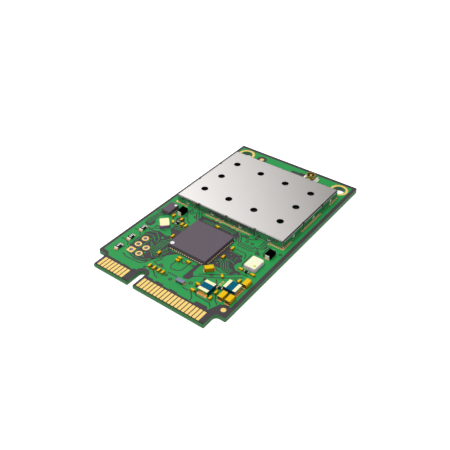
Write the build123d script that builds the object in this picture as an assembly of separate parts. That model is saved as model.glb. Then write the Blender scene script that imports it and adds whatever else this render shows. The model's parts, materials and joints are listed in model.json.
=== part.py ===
"""A radio card for a mini card slot: a green laminate with gold edge contacts, two bolt holes,
a sheet-metal radio shield, a processor, its supply parts and a small coaxial antenna connector.

Millimetres. X runs across the card, Y from the edge contacts to the antenna end, Z up.
The origin is the middle of the card's footprint, at its underside.
"""
import os
from math import floor

from build123d import *

# Laminate
board_width = 30.0
board_length = 50.95
board_thickness = 1.0
board_corner_radius = 0.3
shoulder_width = 2.15
tongue_depth = 3.4
shoulder_radius = 0.8
contact_bevel = 0.2
key_width = 1.5
key_depth = 4.0
key_from_middle = 3.85

# Copper, let into the surface so that it lies flush with the mask
copper_thickness = 0.03
finger_width = 0.6
finger_length = 2.3
finger_pitch = 0.8
finger_setback = 0.35
contact_window_margin = 0.2
finger_margin_left = 0.6
finger_margin_right = 1.2
finger_gap_before_key = 2.5
finger_gap_after_key = 1.6

# Bolt holes
bolt_hole_radius = 1.3
bolt_ring_radius = 1.95
bolt_hole_from_side = 2.9
bolt_hole_from_end = 2.9

# Programming header holes
header_pitch = 2.0
header_hole_radius = 0.4
header_ring_radius = 0.7
header_from_left = 4.93
header_from_contacts = 7.1

# Round targets for the placing machine
fiducial_radius = 0.5
front_fiducial_from_right = 1.45
front_fiducial_from_contacts = 4.8
back_fiducial_from_left = 7.0
back_fiducial_from_end = 2.65

# Radio shield: a soldered frame and a folded cover that snaps over it
shield_side_margin = 1.9
shield_from_contacts = 24.2
shield_from_antenna_end = 5.3
shield_height = 1.8
sheet_thickness = 0.2
cover_bend_radius = 0.3
cover_corner_gap = 0.3
cover_lift = 0.1
cover_clearance = 0.05
frame_corner_radius = 0.25
frame_rim_width = 0.7
frame_notch_height = 0.35
frame_notch_margin = 0.2
vent_radius = 0.75
vent_columns = 4
vent_rows = 3
vent_margin_x = 3.7
vent_margin_front = 5.1
vent_margin_back = 4.65
vent_shift = -0.3
slit_width = 0.2
slit_notch_width = 0.6
slit_notch_depth = 0.35
front_slits = 3
front_slit_margin_left = 5.9
front_slit_margin_right = 6.6
side_slits = 2
side_slit_margin_front = 7.5
side_slit_margin_back = 6.5
dimple_radius = 0.38
dimple_depth = 0.1
dimple_sides = 8
dimple_play = 0.1
shield_pad_outside = 0.5
shield_pad_inside = 0.75
shield_pad_corner_x = 3.7
shield_pad_corner_y = 3.9
shield_pad_gap_x = 4.0
shield_pad_gap_y = 3.0

# Leadless chip packages
chip_height = 0.85
terminal_pitch = 0.5
terminal_width = 0.24
terminal_toe = 0.22
terminal_rise = 0.22
terminal_corner_margin = 0.7
pin_mark_radius = 0.42
small_pin_mark_radius = 0.28
pin_mark_depth = 0.03
processor_size = 9.0
processor_from_middle = -0.5
processor_from_contacts = 16.4
interface_chip_width = 2.0
interface_chip_length = 3.0

# Chip capacitors, resistors and other two-ended parts
small_length = 0.9
small_width = 0.45
small_height = 0.45
small_cap_length = 0.12
bulk_length = 1.8
bulk_width = 1.05
bulk_height = 0.85
bulk_cap_length = 0.1
end_cap_proud = 0.02
pad_inside = 0.35
pad_outside = 0.2
pad_side_margin = 0.05
part_gap = 0.3

# Fuse and power coils: blocks with a metal strip folded round each end
fuse_length = 1.75
fuse_width = 0.85
fuse_height = 0.5
fuse_lap = 0.08
coil_length = 2.65
coil_width = 2.2
coil_height = 1.05
coil_lap = 0.65
strip_gauge = 0.04
strip_side_margin = 0.04
coil_pad_outside = 0.35

# Where the larger parts stand: from the edges of the board, or out from and up along a neighbour
coil_front_from_right = 6.65
coil_front_from_contacts = 6.92
coil_side_from_right = 3.1
coil_side_from_contacts = 9.65
bulk_gap = 0.5
bulk_from_right = 1.8
bulk_out = 1.43
bulk_down = 0.58
fuse_from_middle = 3.25
fuse_from_contacts = 5.72
crystal_out = 4.93
crystal_up = 0.23
oscillator_from_right = 3.65
oscillator_from_contacts = 17.1
interface_from_left = 2.85
interface_from_contacts = 20.95
left_clamp_out = 1.53
left_clamp_up = 0.85
right_clamp_from_right = 2.83
right_clamp_from_contacts = 21.2

# Where the small capacitors and resistors stand: out from a neighbour's side, and up or right
# from its middle
left_of_processor = [(1.1, 2.15), (2.0, 2.1), (3.1, 3.3), (1.1, -1.8)]
in_front_of_processor = [(-4.45, 2.6, 90), (-0.3, 1.45, 0), (-0.25, 2.2, 0), (1.7, 1.35, 0)]
behind_processor = [(-0.3, 1.2)]
right_of_processor = [(1.4, 2.15), (1.45, -0.85)]
contact_capacitors_x = [-3.95, -2.85, -1.75, -0.8]
contact_capacitors_y = 5.6
left_of_front_coil = [(0.95, 0.08), (0.8, -1.62)]
right_of_front_coil = [(0.65, 0.33), (0.7, -1.37)]
left_of_side_coil = [(2.1, 1.55)]
behind_side_coil = [(-0.2, 1.2)]
right_of_interface = [(0.95, -1.2)]
crystal_capacitor_out = 4.0
crystal_capacitor_up = 1.7
left_resistor_out = 3.1
left_resistor_up = 1.85
oscillator_capacitor_out = 0.75
oscillator_capacitors_right = [-1.27, 1.33]

# Voltage clamps: moulded bodies on bent terminals
clamp_length = 1.95
clamp_width = 1.35
clamp_height = 1.05
clamp_chamfer = 0.18
clamp_strip = 0.1
clamp_strip_width = 0.9
clamp_strip_height = 0.8
clamp_foot = 0.4

# Crystals: ceramic bases with metal lids
crystal_length = 2.5
crystal_width = 2.0
crystal_height = 0.75
oscillator_length = 3.2
oscillator_width = 2.5
oscillator_height = 0.9
lid_thickness = 0.15
lid_margin = 0.06
castellation_radius = 0.18

# Indicator lamps
lamp_length = 1.6
lamp_width = 0.8
lamp_base_height = 0.25
lamp_lens_length = 1.0
lamp_lens_height = 0.3
lamp_lens_margin = 0.05
lamp_lens_bevel = 0.12
lamp_terminal_length = 0.3
lamp_pitch = 3.45
lamp_from_left = 2.5
lamp_from_contacts = 6.25
lamp_count = 3

# Coaxial antenna connector
connector_base_size = 2.6
connector_base_height = 0.35
connector_ring_radius = 1.0
connector_ring_wall = 0.15
connector_height = 1.25
connector_groove_depth = 0.08
connector_groove_height = 0.15
connector_pin_radius = 0.25
connector_pin_drop = 0.1
connector_strip = 0.1
connector_tab_width = 2.0
connector_tab_length = 0.3
connector_tail_width = 0.5
connector_from_middle = 5.1
connector_from_end = 2.95

# Chips under the shield
radio_size = 5.0
amplifier_size = 3.0
filter_size = 2.5
inner_side_margin = 1.0
inner_gap = 0.9
inner_capacitor_margin = 2.0
inner_capacitor_pitch = 3.5
inner_capacitor_columns = 3

# Edges and places worked out from the sizes above
left_edge = -board_width / 2
right_edge = board_width / 2
contact_edge = -board_length / 2
antenna_edge = board_length / 2
tongue_width = board_width - 2 * shoulder_width
key_x = -key_from_middle
shield_width = board_width - 2 * shield_side_margin
shield_depth = board_length - shield_from_contacts - shield_from_antenna_end
shield_left = left_edge + shield_side_margin
shield_right = right_edge - shield_side_margin
shield_front = contact_edge + shield_from_contacts
shield_back = antenna_edge - shield_from_antenna_end
shield_middle_y = (shield_front + shield_back) / 2
cover_inner_width = shield_width - 2 * sheet_thickness
cover_inner_depth = shield_depth - 2 * sheet_thickness
frame_width = cover_inner_width - 2 * cover_clearance
frame_depth = cover_inner_depth - 2 * cover_clearance
frame_inset = sheet_thickness + cover_clearance
shield_pad_right = shield_right + shield_pad_outside
shield_pad_front = shield_front - shield_pad_outside
corner_pad_inner_x = shield_pad_right - shield_pad_corner_x
middle_pad_x = corner_pad_inner_x - shield_pad_gap_x
front_pad_back_y = shield_pad_front + shield_pad_corner_y
back_pad_front_y = shield_back - shield_pad_corner_y
processor_x = processor_from_middle
processor_y = contact_edge + processor_from_contacts
processor_left = processor_x - processor_size / 2
processor_right = processor_x + processor_size / 2
processor_front = processor_y - processor_size / 2
processor_back = processor_y + processor_size / 2
connector_x = connector_from_middle
connector_y = antenna_edge - connector_from_end


def place(x, y, turn=0):
    """A spot on the top of the board, turned about Z."""
    return Pos(x, y, board_thickness) * Rot(0, 0, turn)


def slab(size_x, size_y, height):
    """A box that stands on its place."""
    return Box(size_x, size_y, height, align=(Align.CENTER, Align.CENTER, Align.MIN))


def rod(radius, height):
    """A cylinder that stands on its place."""
    return Cylinder(radius, height, align=(Align.CENTER, Align.CENTER, Align.MIN))


def spread(first, last, count):
    """Evenly spaced stations from first to last."""
    if count == 1:
        return [(first + last) / 2]
    return [first + (last - first) * i / (count - 1) for i in range(count)]


def fitting_row(first, last, pitch):
    """Stations from first towards last at a fixed pitch, as many as fit."""
    count = floor(abs(last - first) / pitch + 1e-6) + 1
    step = pitch if last > first else -pitch
    return [first + step * i for i in range(count)]


# Edge contacts
def finger_stations():
    left_of_key = fitting_row(
        key_x - finger_gap_before_key,
        -tongue_width / 2 + finger_margin_left + finger_width / 2,
        finger_pitch,
    )
    right_of_key = fitting_row(
        key_x + finger_gap_after_key,
        tongue_width / 2 - finger_margin_right - finger_width / 2,
        finger_pitch,
    )
    return left_of_key + right_of_key


def edge_contacts(z):
    """One face's row of gold fingers, lying from z upwards."""
    finger = slab(finger_width, finger_length, copper_thickness)
    y = contact_edge + finger_setback + finger_length / 2
    return [Pos(x, y, z) * finger for x in finger_stations()]


def contact_window(z):
    """The stretch of one face that the mask leaves bare, round all of its fingers."""
    length = finger_setback + finger_length + contact_window_margin
    return Pos(0, contact_edge + length / 2, z) * slab(tongue_width, length, copper_thickness)


# Plated holes
def plated_hole(x, y, hole_radius, ring_radius, square=False):
    """The copper of one hole, and the space that it takes in the laminate."""
    land = rod(ring_radius, board_thickness)
    if square:
        land = slab(2 * ring_radius, 2 * ring_radius, board_thickness)
    land = Pos(x, y, 0) * land
    return land - Pos(x, y, 0) * rod(hole_radius, board_thickness), land


def bolt_rings():
    y = antenna_edge - bolt_hole_from_end
    x = board_width / 2 - bolt_hole_from_side
    return [plated_hole(side * x, y, bolt_hole_radius, bolt_ring_radius) for side in (-1, 1)]


def header_holes():
    """Five of the six header positions, the first one with a square land."""
    holes = []
    for column, rows in ((0, 3), (1, 2)):
        for row in range(rows):
            x = left_edge + header_from_left + column * header_pitch
            y = contact_edge + header_from_contacts + row * header_pitch
            first = column == 0 and row == 0
            holes.append(plated_hole(x, y, header_hole_radius, header_ring_radius, first))
    return holes


def fiducials():
    """Two round gold targets for the placing machine, at opposite corners."""
    target = Pos(0, 0, -copper_thickness) * rod(fiducial_radius, copper_thickness)
    spots = [
        (right_edge - front_fiducial_from_right, contact_edge + front_fiducial_from_contacts),
        (left_edge + back_fiducial_from_left, antenna_edge - back_fiducial_from_end),
    ]
    return [place(x, y) * target for x, y in spots]


# Places of the parts, each worked out from the board edge or from the part that it stands by
coil_front_x = right_edge - coil_front_from_right
coil_front_y = contact_edge + coil_front_from_contacts
coil_front_left = coil_front_x - coil_width / 2
coil_front_right = coil_front_x + coil_width / 2
coil_side_x = right_edge - coil_side_from_right
coil_side_y = contact_edge + coil_side_from_contacts
coil_side_left = coil_side_x - coil_length / 2
coil_side_back = coil_side_y + coil_width / 2
coil_places = {
    "power_coil_front": place(coil_front_x, coil_front_y, 90),
    "power_coil_side": place(coil_side_x, coil_side_y),
}
bulk_front_y = coil_side_y - coil_width / 2 - bulk_gap - bulk_length / 2
bulk_back_y = coil_side_back + bulk_gap + bulk_length / 2
bulk_side_x = right_edge - bulk_from_right
bulk_places = [
    place(bulk_side_x - bulk_width - bulk_gap, bulk_front_y, 90),
    place(bulk_side_x, bulk_front_y, 90),
    place(bulk_side_x, bulk_back_y, 90),
    place(processor_right + bulk_out, processor_front - bulk_down, 45),
]
fuse_place = place(fuse_from_middle, contact_edge + fuse_from_contacts)
crystal_place = place(processor_left - crystal_out, processor_y + crystal_up, -45)
oscillator_x = right_edge - oscillator_from_right
oscillator_y = contact_edge + oscillator_from_contacts
oscillator_front = oscillator_y - oscillator_length / 2
oscillator_place = place(oscillator_x, oscillator_y, 90)
interface_x = left_edge + interface_from_left
interface_y = contact_edge + interface_from_contacts
interface_right = interface_x + interface_chip_width / 2
clamp_places = [
    place(interface_right + left_clamp_out, interface_y + left_clamp_up, 90),
    place(right_edge - right_clamp_from_right, contact_edge + right_clamp_from_contacts, 90),
]
processor_capacitor_places = (
    [place(processor_left - out, processor_y + up, 90) for out, up in left_of_processor]
    + [place(processor_x + right, processor_front - out, turn)
       for right, out, turn in in_front_of_processor]
    + [place(processor_x + right, processor_back + out) for right, out in behind_processor]
    + [place(processor_right + out, processor_y + up, 90) for out, up in right_of_processor]
)
supply_capacitor_places = (
    [place(x, contact_edge + contact_capacitors_y, 90) for x in contact_capacitors_x]
    + [place(coil_front_left - out, coil_front_y + up) for out, up in left_of_front_coil]
    + [place(coil_front_right + out, coil_front_y + up, 90) for out, up in right_of_front_coil]
    + [place(coil_side_left - out, coil_side_y + up, -45) for out, up in left_of_side_coil]
    + [place(coil_side_x + right, coil_side_back + out, 90) for right, out in behind_side_coil]
)
clock_capacitor_places = [
    place(interface_right + out, interface_y + up, 90) for out, up in right_of_interface
]
clock_capacitor_places += [
    place(processor_left - crystal_capacitor_out, processor_y + crystal_capacitor_up, -45)
]
clock_capacitor_places += [
    place(oscillator_x + right, oscillator_front - oscillator_capacitor_out)
    for right in oscillator_capacitors_right
]
resistor_places = [
    place(processor_left - left_resistor_out, processor_y + left_resistor_up, 90),
    place(oscillator_x, oscillator_front - oscillator_capacitor_out),
    place((coil_front_right + coil_side_left) / 2, coil_front_y + coil_length / 2 + part_gap),
]
lamp_places = [
    place(left_edge + lamp_from_left, contact_edge + lamp_from_contacts + i * lamp_pitch, 90)
    for i in range(lamp_count)
]


# Solder pads let into the board
def end_pads(spot, length, width, outside=pad_outside):
    """The two pads under the ends of a part that lies along its own X."""
    size = pad_inside + outside
    pad = Pos(0, 0, -copper_thickness) * slab(size, width, copper_thickness)
    reach = length / 2 + outside - size / 2
    return [spot * Pos(side * reach, 0, 0) * pad for side in (-1, 1)]


def component_pads():
    pads = []
    for spot in coil_places.values():
        width = coil_width - 2 * strip_side_margin
        pads += end_pads(spot, coil_length, width, coil_pad_outside)
    for spot in bulk_places:
        pads += end_pads(spot, bulk_length, bulk_width - 2 * pad_side_margin)
    pads += end_pads(fuse_place, fuse_length, fuse_width - 2 * pad_side_margin)
    for spot in lamp_places:
        pads += end_pads(spot, lamp_length, lamp_width)
    for spot in clamp_places:
        pads += end_pads(spot, clamp_length, clamp_strip_width + 2 * pad_side_margin)
    return pads


def pad_strip(x0, x1, y0, y1):
    """One strip of copper between two corners, flush with the top of the board."""
    strip = slab(x1 - x0, y1 - y0, copper_thickness)
    return Pos((x0 + x1) / 2, (y0 + y1) / 2, board_thickness - copper_thickness) * strip


def shield_pads():
    """Copper strips under the shield frame: two front corners, and strips along each side."""
    x_in = shield_right - shield_pad_inside
    y_front_in = shield_front + shield_pad_inside
    y_back_in = shield_back - shield_pad_inside
    y_back = shield_back + shield_pad_outside
    side_y0 = front_pad_back_y + shield_pad_gap_y
    side_y1 = back_pad_front_y - shield_pad_gap_y
    pads = [
        pad_strip(-middle_pad_x, middle_pad_x, shield_pad_front, y_front_in),
        pad_strip(-middle_pad_x, middle_pad_x, y_back_in, y_back),
    ]
    for side in (-1, 1):
        near, far = sorted((side * x_in, side * shield_pad_right))
        inner, outer = sorted((side * corner_pad_inner_x, side * shield_pad_right))
        corner = pad_strip(inner, outer, shield_pad_front, y_front_in)
        pads.append(corner + pad_strip(near, far, shield_pad_front, front_pad_back_y))
        pads.append(pad_strip(near, far, side_y0, side_y1))
        pads.append(pad_strip(near, far, back_pad_front_y, shield_back))
    return pads


# Laminate
def board_outline():
    """The card's outline: shoulders beside the tongue, and the key notch between the contacts."""
    outline = Rectangle(board_width, board_length)
    for side in (-1, 1):
        x = side * (board_width - shoulder_width) / 2
        outline -= Pos(x, contact_edge + tongue_depth / 2) * Rectangle(shoulder_width, tongue_depth)
    on_shoulder = outline.vertices().group_by(Axis.Y)[1].sort_by(Axis.X)
    outline = fillet(on_shoulder[1:-1], shoulder_radius)
    across = outline.vertices().group_by(Axis.X)
    outline = fillet(across[0] + across[-1], board_corner_radius)
    straight = key_depth - key_width / 2
    outline -= Pos(key_x, contact_edge + straight / 2) * Rectangle(key_width, straight)
    outline -= Pos(key_x, contact_edge + straight) * Circle(key_width / 2)
    return outline


def circuit_board(spaces):
    """The laminate, bevelled at the contact edge, less the spaces that the copper fills."""
    board = extrude(board_outline(), board_thickness)
    lip = board.edges().filter_by(Axis.X).group_by(Axis.Y)[0]
    return chamfer(lip, contact_bevel) - spaces


# Radio shield
def folded_block(width, depth, height, bend):
    """A block whose four top edges are bent round, with mitred corners."""
    block = None
    for plane, span, other in ((Plane.XZ, width, depth), (Plane.YZ, depth, width)):
        profile = Pos(0, height / 2) * Rectangle(span, height)
        profile = fillet(profile.vertices().group_by(Axis.Y)[-1], bend)
        bar = extrude(plane * profile, other / 2, both=True)
        block = bar if block is None else block & bar
    return block


def front_slit_stations():
    return spread(
        shield_left + front_slit_margin_left, shield_right - front_slit_margin_right, front_slits
    )


def side_slit_stations():
    return spread(
        shield_front + side_slit_margin_front, shield_back - side_slit_margin_back, side_slits
    )


def between(ends):
    """The middles of the stretches between neighbouring stations."""
    return [(a + b) / 2 for a, b in zip(ends, ends[1:])]


def dimple_spots():
    """The middle of each stretch of wall, as a place whose local Z points out of the wall."""
    z = board_thickness + shield_height / 2
    along_x = between([shield_left] + front_slit_stations() + [shield_right])
    along_y = between([shield_front] + side_slit_stations() + [shield_back])
    spots = []
    for x in along_x:
        spots.append(Pos(x, shield_front, z) * Rot(90, 0, 0))
        spots.append(Pos(x, shield_back, z) * Rot(-90, 0, 0))
    for y in along_y:
        spots.append(Pos(shield_left, y, z) * Rot(0, -90, 0))
        spots.append(Pos(shield_right, y, z) * Rot(0, 90, 0))
    return spots


def wall_slits():
    """The slits that part the cover's walls, and the notch where each one enters the lid."""
    slit = slab(slit_width, 4 * sheet_thickness, shield_height)
    drop = cover_bend_radius + sheet_thickness
    notch = slab(slit_notch_width, 2 * slit_notch_depth, 2 * drop)
    cut = slit + Pos(0, 0, shield_height - drop) * notch
    cuts = [place(x, y) * cut for x in front_slit_stations() for y in (shield_front, shield_back)]
    for y in side_slit_stations():
        cuts += [place(x, y, 90) * cut for x in (shield_left, shield_right)]
    return cuts


def vent_cuts():
    """Vents in rows: full rows at the front and back, and only the outer two between."""
    z = board_thickness + shield_height - 2 * sheet_thickness
    xs = spread(shield_left + vent_margin_x, shield_right - vent_margin_x, vent_columns)
    ys = spread(shield_front + vent_margin_front, shield_back - vent_margin_back, vent_rows)
    cuts = []
    for row, y in enumerate(ys):
        for column, x in enumerate(xs):
            if row in (0, vent_rows - 1) or column in (0, vent_columns - 1):
                cuts.append(Pos(x + vent_shift, y, z) * rod(vent_radius, 3 * sheet_thickness))
    return cuts


def dimple(radius, height):
    """A flat-topped boss that narrows along its local Z."""
    return extrude(RegularPolygon(radius, dimple_sides), height, taper=45)


def shield_cover():
    """The folded cover: lid and walls of one sheet, with vents, slits and snap dimples."""
    height = shield_height - cover_lift
    outer = folded_block(shield_width, shield_depth, height, cover_bend_radius)
    inner = slab(cover_inner_width, cover_inner_depth, height - sheet_thickness)
    gap = cover_corner_gap
    corners = [
        Pos(x * (shield_width - gap) / 2, y * (shield_depth - gap) / 2, 0) * slab(gap, gap, height)
        for x in (-1, 1)
        for y in (-1, 1)
    ]
    cover = Pos(0, shield_middle_y, board_thickness + cover_lift) * (outer - inner - corners)
    cover = cover - wall_slits() - vent_cuts()
    press = Rot(0, 180, 0) * dimple(dimple_radius, dimple_depth)
    bump = Pos(0, 0, -sheet_thickness) * press
    cover = cover + [spot * bump for spot in dimple_spots()]
    return cover - [spot * press for spot in dimple_spots()]


def frame_notches():
    """Gaps under the frame where tracks pass between the solder pads."""
    through = 2 * (frame_inset + 2 * sheet_thickness)
    width_x = shield_pad_gap_x - 2 * frame_notch_margin
    width_y = shield_pad_gap_y - 2 * frame_notch_margin
    gap_x = (corner_pad_inner_x + middle_pad_x) / 2
    gap_ys = (front_pad_back_y + shield_pad_gap_y / 2, back_pad_front_y - shield_pad_gap_y / 2)
    cuts = []
    for side in (-1, 1):
        for y in (shield_front, shield_back):
            cuts.append(place(side * gap_x, y) * slab(width_x, through, frame_notch_height))
        for y in gap_ys:
            cuts.append(place(side * shield_right, y) * slab(through, width_y, frame_notch_height))
    return cuts


def shield_frame():
    """The soldered fence: four walls with an inward rim, and a hole behind each dimple."""
    height = shield_height - sheet_thickness
    wall = 2 * sheet_thickness
    rim = 2 * (sheet_thickness + frame_rim_width)
    outer = extrude(RectangleRounded(frame_width, frame_depth, frame_corner_radius), height)
    room = slab(frame_width - wall, frame_depth - wall, height - sheet_thickness)
    mouth = slab(frame_width - rim, frame_depth - rim, height)
    frame = place(0, shield_middle_y) * (outer - room - mouth)
    hole = extrude(RegularPolygon(dimple_radius + dimple_play, dimple_sides), 4 * sheet_thickness)
    holes = [spot * Pos(0, 0, -5 * sheet_thickness) * hole for spot in dimple_spots()]
    return frame - holes - frame_notches()


# Leadless chips
def terminal_row(length):
    """Stations of the terminals along one side of a chip."""
    count = floor((length - 2 * terminal_corner_margin) / terminal_pitch + 1e-6) + 1
    half = (count - 1) * terminal_pitch / 2
    return spread(-half, half, count)


def chip_terminals(spot, size_x, size_y, sides=(0, 90, 180, 270)):
    """Small solder wedges against the foot of the package, one at each terminal."""
    corners = [(0, 0), (terminal_toe, 0), (0, terminal_rise)]
    profile = Plane.XZ * make_face(Polyline(*corners, close=True))
    wedge = Pos(0, terminal_width / 2, 0) * extrude(profile, terminal_width)
    solids = []
    for turn in sides:
        reach, length = (size_x, size_y) if turn in (0, 180) else (size_y, size_x)
        for y in terminal_row(length):
            solids.append(spot * Rot(0, 0, turn) * Pos(reach / 2, y, 0) * wedge)
    return solids


def marked_chip(spot, size_x, size_y, mark_radius, side_x, side_y):
    """A moulded package with a shallow round mark in the corner by its first terminal."""
    inset = 1.5 * mark_radius
    mark = rod(mark_radius, 2 * pin_mark_depth)
    x = side_x * (size_x / 2 - inset)
    y = side_y * (size_y / 2 - inset)
    body = slab(size_x, size_y, chip_height)
    return spot * (body - Pos(x, y, chip_height - pin_mark_depth) * mark)


# Two-ended chip parts
def chip_middle(spot, length, width, height, cap_length):
    """The ceramic between the end caps, a little slimmer than they are."""
    body = slab(length - 2 * cap_length, width - 2 * end_cap_proud, height - end_cap_proud)
    return spot * body


def chip_ends(spot, length, width, height, cap_length):
    """The two metal end caps."""
    cap = Pos((length - cap_length) / 2, 0, 0) * slab(cap_length, width, height)
    return [spot * Rot(0, 0, turn) * cap for turn in (0, 180)]


def strapped_body(spot, length, width, height):
    """A block held off the board by the strips folded round its ends."""
    body = slab(length - 2 * strip_gauge, width, height - 2 * strip_gauge)
    return spot * Pos(0, 0, strip_gauge) * body


def end_straps(spot, length, width, height, lap):
    """A metal strip folded under, up and over each end of a block."""
    outer = length / 2
    inner = outer - lap
    low, high = strip_gauge, height - strip_gauge
    corners = [
        (inner, 0), (outer, 0), (outer, height), (inner, height),
        (inner, high), (outer - strip_gauge, high), (outer - strip_gauge, low), (inner, low),
    ]
    profile = Plane.XZ * make_face(Polyline(*corners, close=True))
    strap_width = width - 2 * strip_side_margin
    strap = Pos(0, strap_width / 2, 0) * extrude(profile, strap_width)
    return [spot * Rot(0, 0, turn) * strap for turn in (0, 180)]


def small_parts(places):
    """The middles and the end caps of a group of small chip parts."""
    sizes = (small_length, small_width, small_height, small_cap_length)
    middles = [chip_middle(spot, *sizes) for spot in places]
    ends = [cap for spot in places for cap in chip_ends(spot, *sizes)]
    return middles, ends


# Voltage clamps
def clamp_body(spot):
    """A moulded block with bevelled top edges, held a strip's thickness off the board."""
    block = slab(clamp_length, clamp_width, clamp_height - clamp_strip)
    block = chamfer(block.faces().sort_by(Axis.Z)[-1].edges(), clamp_chamfer)
    return spot * Pos(0, 0, clamp_strip) * block


def clamp_terminals(spot):
    """A strip up each end of the body, bent under it at the foot."""
    inner = clamp_length / 2 - clamp_foot
    outer = clamp_length / 2 + clamp_strip
    corners = [
        (inner, 0),
        (outer, 0),
        (outer, clamp_strip_height),
        (clamp_length / 2, clamp_strip_height),
        (clamp_length / 2, clamp_strip),
        (inner, clamp_strip),
    ]
    profile = Plane.XZ * make_face(Polyline(*corners, close=True))
    strip = Pos(0, clamp_strip_width / 2, 0) * extrude(profile, clamp_strip_width)
    return [spot * Rot(0, 0, turn) * strip for turn in (0, 180)]


# Crystals
def ceramic_base(spot, length, width, height):
    """A ceramic package with a quarter-round terminal groove down each corner."""
    base = slab(length, width, height - lid_thickness)
    groove = rod(castellation_radius, height)
    grooves = [Pos(x * length / 2, y * width / 2, 0) * groove for x in (-1, 1) for y in (-1, 1)]
    return spot * (base - grooves)


def metal_lid(spot, length, width, height):
    """A thin sealed lid on the ceramic, its corners cut back from the grooves."""
    inset = 2 * lid_margin
    outline = Rectangle(length - inset, width - inset)
    outline = chamfer(outline.vertices(), castellation_radius)
    return spot * Pos(0, 0, height - lid_thickness) * extrude(outline, lid_thickness)


# Indicator lamps
def lamp_base(spot):
    """The carrier strip, between the two terminals."""
    return spot * slab(lamp_length - 2 * lamp_terminal_length, lamp_width, lamp_base_height)


def lamp_lens(spot):
    """The clear block over the lamp, its ends sloped."""
    block = slab(lamp_lens_length, lamp_width - 2 * lamp_lens_margin, lamp_lens_height)
    ends = block.edges().filter_by(Axis.Y).group_by(Axis.Z)[-1]
    return spot * Pos(0, 0, lamp_base_height) * chamfer(ends, lamp_lens_bevel)


def lamp_terminals(spot):
    terminal = slab(lamp_terminal_length, lamp_width, lamp_base_height)
    reach = (lamp_length - lamp_terminal_length) / 2
    return [spot * Pos(side * reach, 0, 0) * terminal for side in (-1, 1)]


# Antenna connector
def connector_ring():
    """The round wall, turned about Z, with a groove rolled into it for the plug to snap into."""
    outer = connector_ring_radius
    inner = outer - connector_ring_wall
    groove_z = connector_base_height + connector_strip + connector_groove_height
    corners = [
        (inner, connector_base_height),
        (outer, connector_base_height),
        (outer, groove_z),
        (outer - connector_groove_depth, groove_z + connector_groove_height / 2),
        (outer, groove_z + connector_groove_height),
        (outer, connector_height),
        (inner, connector_height),
    ]
    return revolve(Plane.XZ * make_face(Polyline(*corners, close=True)), Axis.Z)


def connector_shell():
    """The grounded ring, and a strap down each side to a solder tab."""
    wall_middle = connector_ring_radius - connector_ring_wall / 2
    half = connector_base_size / 2
    reach = half + connector_strip
    corners = [
        (wall_middle, connector_base_height),
        (half, connector_base_height),
        (half, 0),
        (reach + connector_tab_length, 0),
        (reach + connector_tab_length, connector_strip),
        (reach, connector_strip),
        (reach, connector_base_height + connector_strip),
        (wall_middle, connector_base_height + connector_strip),
    ]
    profile = Plane.XZ * make_face(Polyline(*corners, close=True))
    strap = Pos(0, connector_tab_width / 2, 0) * extrude(profile, connector_tab_width)
    strap -= rod(wall_middle, connector_height)
    straps = [Rot(0, 0, turn) * strap for turn in (0, 180)]
    return place(connector_x, connector_y) * (connector_ring() + straps)


def connector_pin():
    """The centre pin and the flat tail that brings the signal in under the base."""
    height = connector_height - connector_pin_drop - connector_strip
    pin = Pos(0, 0, connector_strip) * rod(connector_pin_radius, height)
    length = connector_base_size / 2 + connector_tab_length
    tail = Pos(0, -length / 2, 0) * slab(connector_tail_width, length, connector_strip)
    seat = rod(connector_pin_radius, connector_strip)
    return place(connector_x, connector_y) * (pin + tail + seat)


def connector_base():
    """The moulded base, less the way for the pin and its tail."""
    base = slab(connector_base_size, connector_base_size, connector_base_height)
    return place(connector_x, connector_y) * base - connector_pin()


# Parts under the shield
rim_inset = frame_inset + sheet_thickness + frame_rim_width
inner_left = shield_left + rim_inset
inner_right = shield_right - rim_inset
inner_front = shield_front + rim_inset
inner_back = shield_back - rim_inset
baseband_place = place(inner_left + inner_side_margin + processor_size / 2, shield_middle_y)
radio_x = inner_right - inner_side_margin - amplifier_size - inner_gap - radio_size / 2
radio_places = [
    place(radio_x, inner_front + inner_gap + radio_size / 2),
    place(radio_x, inner_back - inner_gap - radio_size / 2),
]
amplifier_x = inner_right - inner_side_margin - amplifier_size / 2
amplifier_place = place(amplifier_x, inner_back - inner_gap - amplifier_size / 2)
filter_place = place(amplifier_x, shield_middle_y)
reference_place = place(radio_x, shield_middle_y)
inner_capacitor_places = [
    place(inner_left + inner_capacitor_margin + column * inner_capacitor_pitch, y)
    for column in range(inner_capacitor_columns)
    for y in (inner_front + inner_gap, inner_back - inner_gap)
]

board_top = board_thickness - copper_thickness
holes = {
    "bolt_hole_rings": bolt_rings(),
    "header_hole_plating": header_holes(),
}
nodes = {
    "fiducial_marks": fiducials(),
    "component_pads": component_pads(),
    "shield_pads": shield_pads(),
}
spaces = [solid for solids in nodes.values() for solid in solids]
spaces += [contact_window(0), contact_window(board_top)]
nodes["edge_contacts_top"] = edge_contacts(board_top)
nodes["edge_contacts_bottom"] = edge_contacts(0)
for name, group in holes.items():
    nodes[name] = [copper for copper, _ in group]
    spaces += [land for _, land in group]
nodes["circuit_board"] = [circuit_board(spaces)]

nodes["shield_frame"] = [shield_frame()]
nodes["shield_cover"] = [shield_cover()]

processor_place = place(processor_x, processor_y)
interface_place = place(interface_x, interface_y)
square = (processor_size, processor_size)
slim = (interface_chip_width, interface_chip_length)
nodes["processor_chip"] = [marked_chip(processor_place, *square, pin_mark_radius, -1, -1)]
nodes["processor_terminals"] = chip_terminals(processor_place, *square)
nodes["interface_chip"] = [marked_chip(interface_place, *slim, small_pin_mark_radius, 1, 1)]
nodes["interface_chip_terminals"] = chip_terminals(interface_place, *slim, sides=(0, 180))

for i, spot in enumerate(clamp_places):
    side = ("left", "right")[i]
    nodes[f"voltage_clamp_{side}"] = [clamp_body(spot)]
    nodes[f"voltage_clamp_terminals_{side}"] = clamp_terminals(spot)

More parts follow.
